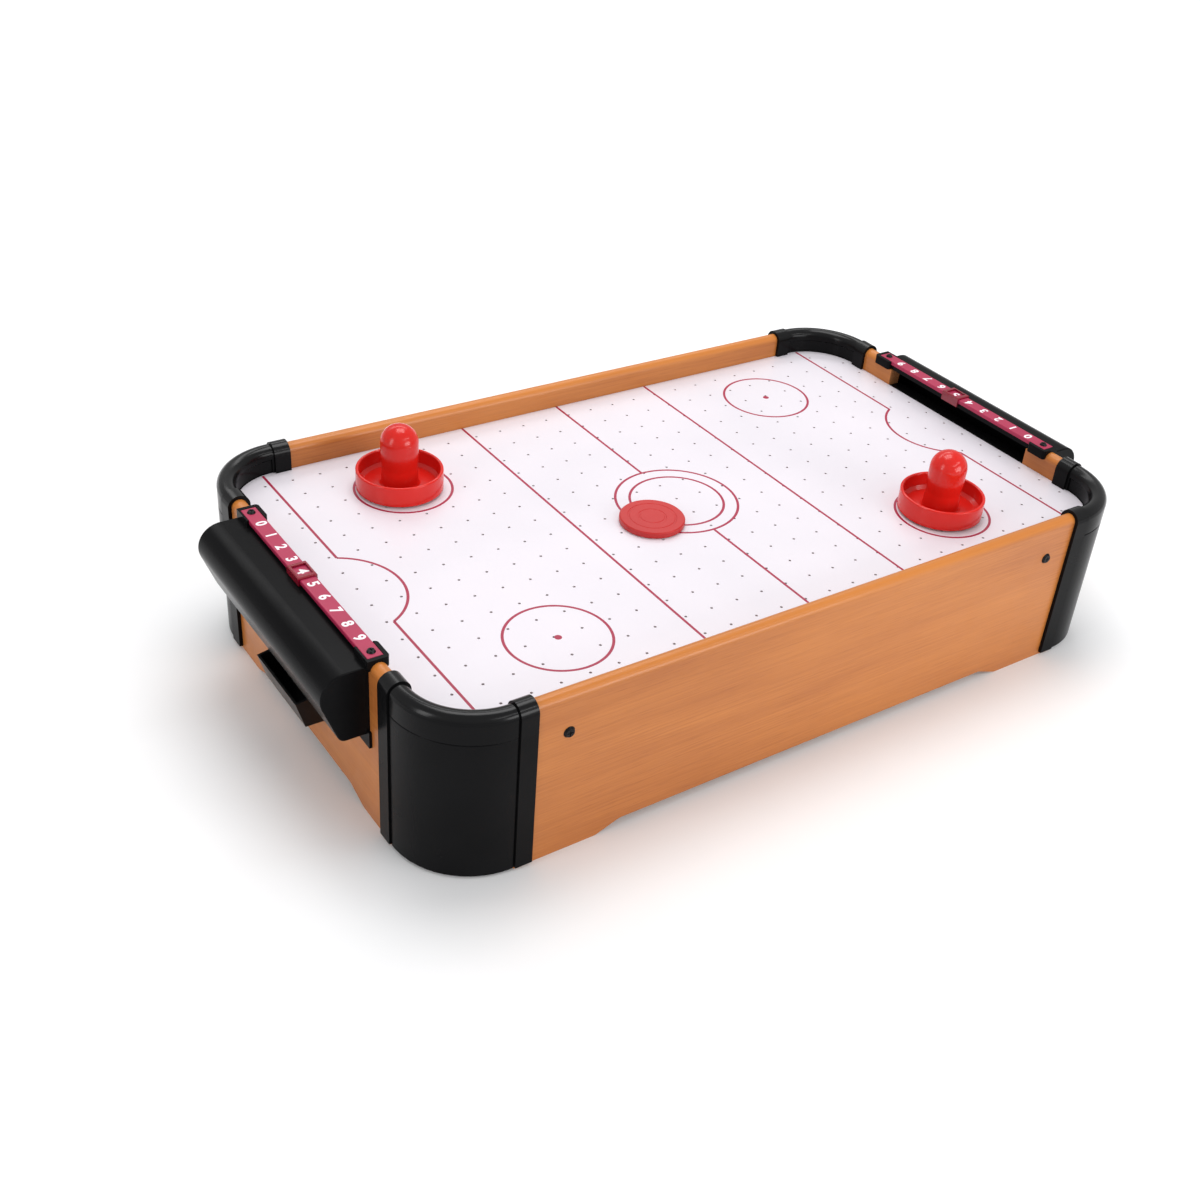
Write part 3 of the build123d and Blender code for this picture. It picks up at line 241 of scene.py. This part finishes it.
def hardboard(name):
    """Brown hardboard, mottled, with a mesh print on its rough side."""
    s = Shader(name)
    mottled = s.noise(s.place((0.35, 0.35, 0.35)), detail=6.0, rough=0.7)
    fleck = s.voronoi(s.place((0.8, 0.8, 0.8)))
    tone = s.ramp(mottled, (0.3, linear(104, 72, 46)), (0.6, linear(132, 94, 62)),
                  (0.8, linear(152, 112, 76)))
    tone = s.mix(s.span(fleck, 0.0, 0.25, 0.4, 0.0), tone, linear(80, 54, 34))
    at = s.place((2.4, 2.4, 2.4))
    wave_x = s.math("SINE", s.axis(at, "X"))
    wave_y = s.math("SINE", s.axis(at, "Y"))
    height = s.math("ADD", s.math("MULTIPLY", wave_x, wave_y), mottled)
    return s.finish(tone, s.span(mottled, 0.3, 0.7, 0.6, 0.8), s.bump(height, 0.3, 0.12))


BRUSHED = {"X": (0.2, 9.0, 9.0), "Z": (9.0, 9.0, 0.2), "ring": (0.4, 0.4, 9.0)}


def metal(name, colour, rough, brushed):
    """Drawn or turned metal with faint tooling lines and a little dulling."""
    s = Shader(name, Metallic=1.0)
    lines = s.noise(s.place(BRUSHED[brushed]), detail=3.0, rough=0.7)
    dull = s.noise(s.place((0.4, 0.4, 0.4)), detail=5.0, rough=0.7)
    shade = tuple(c * 0.72 for c in colour[:3]) + (1.0,)
    tone = s.mix(s.span(dull, 0.4, 0.7), colour, shade)
    tone = s.mix(s.span(lines, 0.4, 0.7, 0.0, 0.25), tone, shade)
    return s.finish(tone, s.span(dull, 0.3, 0.7, rough - 0.07, rough + 0.12), s.bump(lines, 0.15, 0.02))


def black_screw(name):
    """Black-oxide screw, mottled with lighter worn patches."""
    s = Shader(name, Metallic=0.85)
    dull = s.noise(s.place((1.2, 1.2, 1.2)), detail=4.0, rough=0.6)
    fine = s.noise(s.place((6.0, 6.0, 6.0)), detail=2.0)
    tone = s.ramp(dull, (0.3, linear(22, 22, 24)), (0.6, linear(38, 38, 40)), (0.8, linear(66, 65, 66)))
    return s.finish(tone, s.span(dull, 0.3, 0.7, 0.28, 0.48), s.bump(fine, 0.2, 0.02))


def felt(name, colour):
    """Pressed felt: matted fibres, no gloss."""
    s = Shader(name, Sheen_Weight=0.6, Sheen_Roughness=0.5, Specular_IOR_Level=0.1)
    fibre = s.noise(s.place((3.5, 3.5, 3.5)), detail=6.0, rough=0.75, warp=1.5)
    clump = s.noise(s.place((0.5, 0.5, 0.5)), detail=3.0)
    light = tuple(c * 2.2 for c in colour[:3]) + (1.0,)
    tone = s.mix(s.math("MULTIPLY", fibre, clump), colour, light)
    return s.finish(tone, s.span(fibre, 0.2, 0.8, 0.85, 1.0), s.bump(fibre, 0.8, 0.25))


def print_ink(name, colour, rough):
    """Screen print: a thin, slightly uneven film."""
    s = Shader(name)
    film = s.noise(s.place((1.8, 1.8, 1.8)), detail=4.0, rough=0.7)
    patch = s.noise(s.place((0.03, 0.03, 0.03)), detail=2.0)
    deep = tuple(c * 0.86 for c in colour[:3]) + (1.0,)
    tone = s.mix(s.span(film, 0.35, 0.7), deep, colour)
    tone = s.mix(s.span(patch, 0.3, 0.7, 0.0, 0.3), tone, deep)
    return s.finish(tone, s.span(film, 0.3, 0.7, rough - 0.05, rough + 0.08), s.bump(film, 0.15, 0.01))


def cell_jacket(name):
    """Plain cells: a dark sleeve with a copper band, and bright ends."""
    s = Shader(name, Coat_Weight=0.3, Coat_Roughness=0.15)
    low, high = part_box("batteries")
    middle = (low.y + high.y) / 2 / MM
    at = s.math("SUBTRACT", s.axis(s.place(), "Y"), middle)
    scratch = s.noise(s.place((0.8, 0.8, 0.8)), detail=4.0)
    band = s.span(at, 8.6, 8.8)
    end = s.span(s.math("ABSOLUTE", s.axis(s.facing(), "Y")), 0.6, 0.7)
    sleeve = s.mix(band, linear(34, 38, 44), linear(176, 108, 52))
    sleeve = s.mix(s.span(scratch, 0.55, 0.75, 0.0, 0.25), sleeve, linear(88, 90, 96))
    colour = s.mix(end, sleeve, linear(206, 206, 202))
    s.put(s.bsdf.inputs["Metallic"], s.span(s.math("MAXIMUM", band, end), 0.0, 1.0, 0.1, 0.9))
    return s.finish(colour, s.span(scratch, 0.3, 0.7, 0.24, 0.40), s.bump(scratch, 0.1, 0.02))


def wire_cover(name, colour):
    """Soft PVC insulation, with a faint bloom."""
    s = Shader(name)
    bloom = s.noise(s.place((0.3, 0.3, 0.3)), detail=4.0)
    fine = s.noise(s.place((5.0, 5.0, 5.0)), detail=2.0)
    pale = tuple(min(1.0, c * 1.5 + 0.01) for c in colour[:3]) + (1.0,)
    return s.finish(s.mix(s.span(bloom, 0.45, 0.75), colour, pale), s.span(bloom, 0.3, 0.7, 0.35, 0.5),
                    s.bump(fine, 0.2, 0.03))


BLACK = linear(17, 17, 18)
looks = {
    "foil_x": foil("foil_grain_along_table", "X"),
    "foil_y": foil("foil_grain_across_table", "Y"),
    "cap": plastic("corner_cap_plastic", BLACK, 0.20, spread=0.02, grain=0.01, crown=0.24,
                   Specular_IOR_Level=0.07),
    "post": plastic("corner_post_plastic", BLACK, 0.26, spread=0.02, grain=0.01, Specular_IOR_Level=0.06),
    "hood": plastic("hood_plastic", BLACK, 0.24, spread=0.02, grain=0.01, Specular_IOR_Level=0.05),
    "tray": plastic("tray_plastic", BLACK, 0.34, spread=0.06, grain=0.02, Specular_IOR_Level=0.28),
    "field": field_board("printed_field"),
    "line_ink": print_ink("crimson_line_print", linear(170, 24, 66), 0.40),
    "number_ink": print_ink("white_number_print", linear(250, 246, 250), 0.40),
    "rail": plastic("crimson_rail", linear(168, 38, 76), 0.36, grain=0.02, vary=0.06,
                    Specular_IOR_Level=0.35),
    "slider": plastic("crimson_slider", linear(132, 8, 36), 0.18, grain=0.01, vary=0.06,
                      Coat_Weight=0.4, Coat_Roughness=0.1),
    "mallet": plastic("mallet_plastic", linear(210, 32, 24), 0.20, spread=0.03, grain=0.01, vary=0.05,
                      Specular_IOR_Level=0.38,
                      Subsurface_Weight=0.25, Subsurface_Radius=(0.004, 0.001, 0.001)),
    "puck": plastic("puck_plastic", linear(186, 28, 26), 0.42, spread=0.05, grain=0.02, vary=0.05),
    "felt": felt("black_felt", linear(34, 34, 37)),
    "pine_x": pine("batten_wood_along_table", "X"),
    "pine_y": pine("batten_wood_across_table", "Y"),
    "hardboard": hardboard("air_box_hardboard"),
    "screw": black_screw("black_screw_metal"),
    "blower": plastic("blower_plastic", linear(36, 36, 38), 0.46, grain=0.05),
    "impeller": plastic("impeller_plastic", linear(226, 226, 220), 0.42, grain=0.02, vary=0.04),
    "motor": metal("motor_can_steel", linear(188, 188, 186), 0.30, "Z"),
    "shaft": metal("shaft_steel", linear(205, 205, 204), 0.18, "ring"),
    "contact": metal("nickel_contacts", linear(200, 198, 190), 0.26, "X"),
    "cells": cell_jacket("cell_sleeves"),
    "rocker": plastic("rocker_plastic", linear(196, 24, 20), 0.25, grain=0.01, vary=0.05),
    "wire_red": wire_cover("red_insulation", linear(190, 26, 22)),
    "wire_black": wire_cover("black_insulation", linear(26, 26, 28)),
}
FOR_NODES = (
    ("side_board_screws", "screw"), ("side_board", "foil_x"), ("end_board", "foil_y"),
    ("corner_post_screws", "screw"), ("corner_cap", "cap"), ("corner_post", "post"),
    ("goal_hood", "hood"), ("goal_tray", "tray"),
    ("goal_screws", "screw"), ("score_rail_screws", "screw"), ("score_rail", "rail"),
    ("score_slider", "slider"), ("playfield", "field"), ("batten_near", "pine_x"), ("batten_far", "pine_x"),
    ("batten_left", "pine_y"), ("batten_right", "pine_y"), ("cross_batten", "pine_y"),
    ("plenum_floor_screws", "screw"), ("plenum_floor", "hardboard"), ("puck", "puck"),
    ("mallet_felt", "felt"), ("mallet", "mallet"), ("fan_housing_screws", "screw"),
    ("fan_grille_screws", "screw"), ("fan_motor", "motor"), ("fan_impeller", "impeller"),
    ("fan_", "blower"), ("motor_shaft", "shaft"), ("battery_box_screws", "screw"),
    ("battery_contacts", "contact"), ("batteries", "cells"), ("battery_", "blower"),
    ("switch_screws", "screw"), ("switch_rocker", "rocker"), ("switch_body", "blower"),
    ("wire_motor_to_battery", "wire_black"), ("wire_", "wire_red"),
)


def dress(obj, look):
    obj.data.materials.clear()
    obj.data.materials.append(looks[look])


for node_name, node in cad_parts.items():
    for prefix, look in FOR_NODES:
        if node_name.startswith(prefix):
            dress(node, look)
            break
    else:
        raise ValueError(f"no look for {node_name}")


# ---- prints ----------------------------------------------------------------------------------------
# Sizes of the prints in mm
FILM = 0.04            # how far a print stands on its surface
SUNK = 0.02            # and how far its base goes into it
LINE_W = 2.0
CENTRE_RINGS = (46.8, 35.9)
ZONE_X = 89.5
GOAL_X = 259.7
CREASE_X = 281.7
CREASE_R = 48.4
FACE_OFF = (174.6, 108.9)
FACE_OFF_R = 36.4
DOT_R = 2.6
FIELD_CORNER_R = 43.3
RING_STEPS = 128
CREASE_STEPS = 64
DOT_STEPS = 40
DIGIT_PITCH = 16.85
DIGIT_H = 7.6
CAPITAL = 0.72         # height of a figure over the font's size
DIGIT_SWELL = 0.34     # how much each stroke is fattened
DIGIT_SUNK = 0.01
field_low, field_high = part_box("playfield")
FIELD_TOP = field_high.z / MM
EDGE_Y = field_high.y / MM
EDGE_X = field_high.x / MM


def new_piece(name, mesh, look, body):
    obj = bpy.data.objects.new(name, mesh)
    bpy.context.scene.collection.objects.link(obj)
    dress(obj, look)
    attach(obj, body)


def plate(bm, outline_in, outline_out, low, high, closed):
    """A thin band between two outlines with the same number of points."""
    rings = []
    for outline, z in ((outline_in, low), (outline_out, low), (outline_out, high), (outline_in, high)):
        rings.append([bm.verts.new((x * MM, y * MM, z * MM)) for x, y in outline])
    count = len(outline_in)
    steps = range(count if closed else count - 1)
    for a in range(4):
        one, two = rings[a], rings[(a + 1) % 4]
        for i in steps:
            j = (i + 1) % count
            bm.faces.new((one[i], one[j], two[j], two[i]))
    if not closed:
        bm.faces.new([ring[0] for ring in rings])
        bm.faces.new([ring[-1] for ring in reversed(rings)])


def arc(x, y, r, start, stop, steps):
    angles = [math.radians(start + (stop - start) * i / steps) for i in range(steps + 1)]
    return [(x + r * math.cos(a), y + r * math.sin(a)) for a in angles]


def ring(bm, x, y, r, low, high):
    inner = arc(x, y, r - LINE_W / 2, 0, 360, RING_STEPS)[:-1]
    outer = arc(x, y, r + LINE_W / 2, 0, 360, RING_STEPS)[:-1]
    plate(bm, inner, outer, low, high, closed=True)


def run(bm, x, y0, y1, low, high):
    """A straight printed line along Y."""
    one, two = x - LINE_W / 2, x + LINE_W / 2
    plate(bm, [(one, y0), (one, y1)], [(two, y0), (two, y1)], low, high, closed=False)


def dot(bm, x, y, low, high):
    outline = arc(x, y, DOT_R, 0, 360, DOT_STEPS)[:-1]
    top = [bm.verts.new((px * MM, py * MM, high * MM)) for px, py in outline]
    base = [bm.verts.new((px * MM, py * MM, low * MM)) for px, py in outline]
    bm.faces.new(top)
    bm.faces.new(list(reversed(base)))
    for i in range(DOT_STEPS):
        j = (i + 1) % DOT_STEPS
        bm.faces.new((base[i], base[j], top[j], top[i]))


def corner_reach(x):
    """How far the field reaches in Y at a given X, inside its rounded corners."""
    past = abs(x) - (EDGE_X - FIELD_CORNER_R)
    if past <= 0:
        return EDGE_Y
    return EDGE_Y - FIELD_CORNER_R + math.sqrt(FIELD_CORNER_R ** 2 - past ** 2)


def field_lines():
    low, high = FIELD_TOP - SUNK, FIELD_TOP + FILM
    bm = bmesh.new()
    for r in CENTRE_RINGS:
        ring(bm, 0, 0, r, low, high)
    for side in (-1, 1):
        run(bm, 0, side * (CENTRE_RINGS[0] + LINE_W / 2), side * EDGE_Y, low, high)
        run(bm, side * ZONE_X, -EDGE_Y, EDGE_Y, low, high)
        # Goal line and crease: the line stops where the crease's arc begins
        meet = math.sqrt(CREASE_R ** 2 - (CREASE_X - GOAL_X) ** 2)
        reach = corner_reach(GOAL_X + LINE_W) - 0.3
        for y_side in (-1, 1):
            run(bm, side * GOAL_X, y_side * meet, y_side * reach, low, high)
        half = math.degrees(math.asin(meet / CREASE_R))
        middle = 0 if side < 0 else 180
        sweep = (middle - half, middle + half)
        inner = arc(side * CREASE_X, 0, CREASE_R - LINE_W / 2, *sweep, CREASE_STEPS)
        outer = arc(side * CREASE_X, 0, CREASE_R + LINE_W / 2, *sweep, CREASE_STEPS)
        plate(bm, inner, outer, low, high, closed=False)
        for y_side in (-1, 1):
            x, y = side * FACE_OFF[0], y_side * FACE_OFF[1]
            ring(bm, x, y, FACE_OFF_R, low, high)
            dot(bm, x, y, low, high)
    bmesh.ops.recalc_face_normals(bm, faces=bm.faces[:])
    mesh = bpy.data.meshes.new("field_print")
    bm.to_mesh(mesh)
    bm.free()
    return mesh


new_piece("field_print", field_lines(), "line_ink", "table")


def digits(side, name):
    """White score numbers 0 to 9 on a rail, their tops towards the field."""
    low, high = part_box(f"score_rail_{name}")
    middle_x = (low.x + high.x) / 2
    bm = bmesh.new()
    for value in range(10):
        text = bpy.data.curves.new(f"digit_{value}", "FONT")
        text.body = str(value)
        text.align_x = "CENTER"
        text.align_y = "CENTER"
        text.size = DIGIT_H * MM / CAPITAL
        text.extrude = FILM * MM / 2
        text.offset = DIGIT_SWELL * MM
        text.resolution_u = 4
        holder = bpy.data.objects.new("digit", text)
        bpy.context.scene.collection.objects.link(holder)
        bpy.context.view_layer.update()
        mesh = bpy.data.meshes.new_from_object(holder)
        y = -side * (9 / 2 - value) * DIGIT_PITCH * MM
        lift = high.z + (FILM / 2 - DIGIT_SUNK) * MM
        turn = Matrix.Rotation(side * math.pi / 2, 4, "Z")
        mesh.transform(Matrix.Translation((middle_x, y, lift)) @ turn)
        bm.from_mesh(mesh)
        bpy.data.objects.remove(holder)
        bpy.data.curves.remove(text)
        bpy.data.meshes.remove(mesh)
    mesh = bpy.data.meshes.new(f"rail_numbers_{name}")
    bm.to_mesh(mesh)
    bm.free()
    return mesh


for side, name in ((-1, "left"), (1, "right")):
    new_piece(f"rail_numbers_{name}", digits(side, name), "number_ink", "table")


# ---- camera, light and floor -----------------------------------------------------------------------
scene = bpy.context.scene
AZIMUTH = -0.6539
ELEVATION = 0.5982
ROLL = 0.0944
DISTANCE = 0.9965
TARGET = Vector((-0.11541, -0.10645, 0.1080))
LENS = 44.415          # mm, on a sensor of this width
SENSOR = 36.0
SHIFT = (-0.02557, 0.00936)
NEAREST = 0.01
WORLD_LIGHT = 0.54
FLOOR_HALF = 6.0

back = Vector((math.cos(ELEVATION) * math.sin(AZIMUTH), -math.cos(ELEVATION) * math.cos(AZIMUTH),
               math.sin(ELEVATION)))
level = Vector((0, 0, 1)).cross(back).normalized()
upright = back.cross(level)
right = math.cos(ROLL) * level + math.sin(ROLL) * upright
up = -math.sin(ROLL) * level + math.cos(ROLL) * upright
camera = bpy.data.objects.new("camera", bpy.data.cameras.new("camera"))
scene.collection.objects.link(camera)
turned = Matrix((right, up, back)).transposed().to_4x4()
camera.matrix_world = Matrix.Translation(TARGET + DISTANCE * back) @ turned
camera.data.lens = LENS
camera.data.shift_x, camera.data.shift_y = SHIFT
camera.data.sensor_width = SENSOR
camera.data.clip_start = NEAREST
scene.camera = camera


def softbox(name, place, size, power, aim=(0, 0, 0.08)):
    """A rectangular area light, aimed at the middle of the table unless told otherwise."""
    light = bpy.data.lights.new(name, "AREA")
    light.shape = "RECTANGLE"
    light.size, light.size_y = size
    light.energy = power
    light.color = WHITE
    obj = bpy.data.objects.new(name, light)
    scene.collection.objects.link(obj)
    obj.location = place
    obj.rotation_euler = (Vector(aim) - Vector(place)).to_track_quat("-Z", "Y").to_euler()


softbox("softbox_top", (0.15, 0.35, 1.7), (1.1, 0.8), 13.5)
softbox("softbox_front", (0.7, -1.9, 0.55), (1.2, 0.7), 16)
softbox("softbox_strip", (0.5, -1.3, 1.3), (1.6, 0.12), 4)
softbox("softbox_left", (-1.7, -0.2, 0.7), (0.4, 1.0), 6)
softbox("softbox_backdrop", (0.6, 2.6, 2.4), (4.0, 2.0), 90, aim=(1.2, 3.6, 0))
world = bpy.data.worlds.new("studio")
world.use_nodes = True
backdrop = world.node_tree.nodes["Background"]
backdrop.inputs["Color"].default_value = WHITE + (1.0,)
backdrop.inputs["Strength"].default_value = WORLD_LIGHT
scene.world = world
scene.view_settings.view_transform = "Standard"

floor_mesh = bpy.data.meshes.new("floor")
corners = [(x * FLOOR_HALF, y * FLOOR_HALF, 0) for x, y in ((-1, -1), (1, -1), (1, 1), (-1, 1))]
floor_mesh.from_pydata(corners, [], [(0, 1, 2, 3)])
floor = bpy.data.objects.new("floor", floor_mesh)
scene.collection.objects.link(floor)
floor_look = Shader("floor_paper")
paper = floor_look.noise(floor_look.place((0.02, 0.02, 0.02)), detail=2.0)
floor_mesh.materials.append(floor_look.finish(
    floor_look.mix(paper, linear(246, 246, 247), linear(249, 249, 250)), 0.9))
